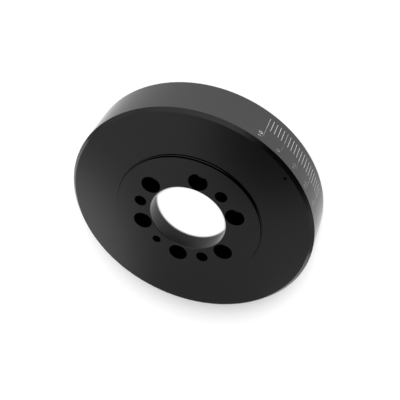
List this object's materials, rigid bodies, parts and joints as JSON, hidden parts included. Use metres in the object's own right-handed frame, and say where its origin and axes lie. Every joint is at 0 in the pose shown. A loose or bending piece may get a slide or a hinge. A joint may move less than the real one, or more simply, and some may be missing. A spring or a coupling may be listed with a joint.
{
  "type": "harmonic balancer",
  "caption": "Sealed viscous crankshaft damper: black steel disc with a chamfered rim, plain bore, raised hub boss with bolt, puller and dowel holes, and a free inertia ring inside.",
  "frame": {"origin": "centre of the rear face, on the crank axis, at the lowest plane of the part", "axes": "+Z along the crank axis out of the front face, +Y towards the zero mark of the timing scale"},
  "size_m": [0.1842, 0.1842, 0.037],
  "materials": {
    "black_coat": "semi-gloss black coating on turned steel",
    "bare_steel": "plain pressed plug, staked",
    "phosphated_iron": "dark phosphated, fine turned",
    "nylon": "natural moulded nylon"
  },
  "bodies": {
    "shell": {"housing": "black_coat", "rear_cover": "black_coat", "fill_plug": "bare_steel"},
    "ring": {"inertia_ring": "phosphated_iron", "radial_bushing": "nylon", "front_pad_1": "nylon", "front_pad_2": "nylon", "front_pad_3": "nylon", "rear_pad_1": "nylon", "rear_pad_2": "nylon", "rear_pad_3": "nylon"}
  },
  "joints": [
    {"name": "ring_spin", "type": "hinge", "parent": "shell", "child": "ring", "pos_m": [0, 0, 0.01725], "axis": [0, 0, 1], "continuous": true}
  ]
}
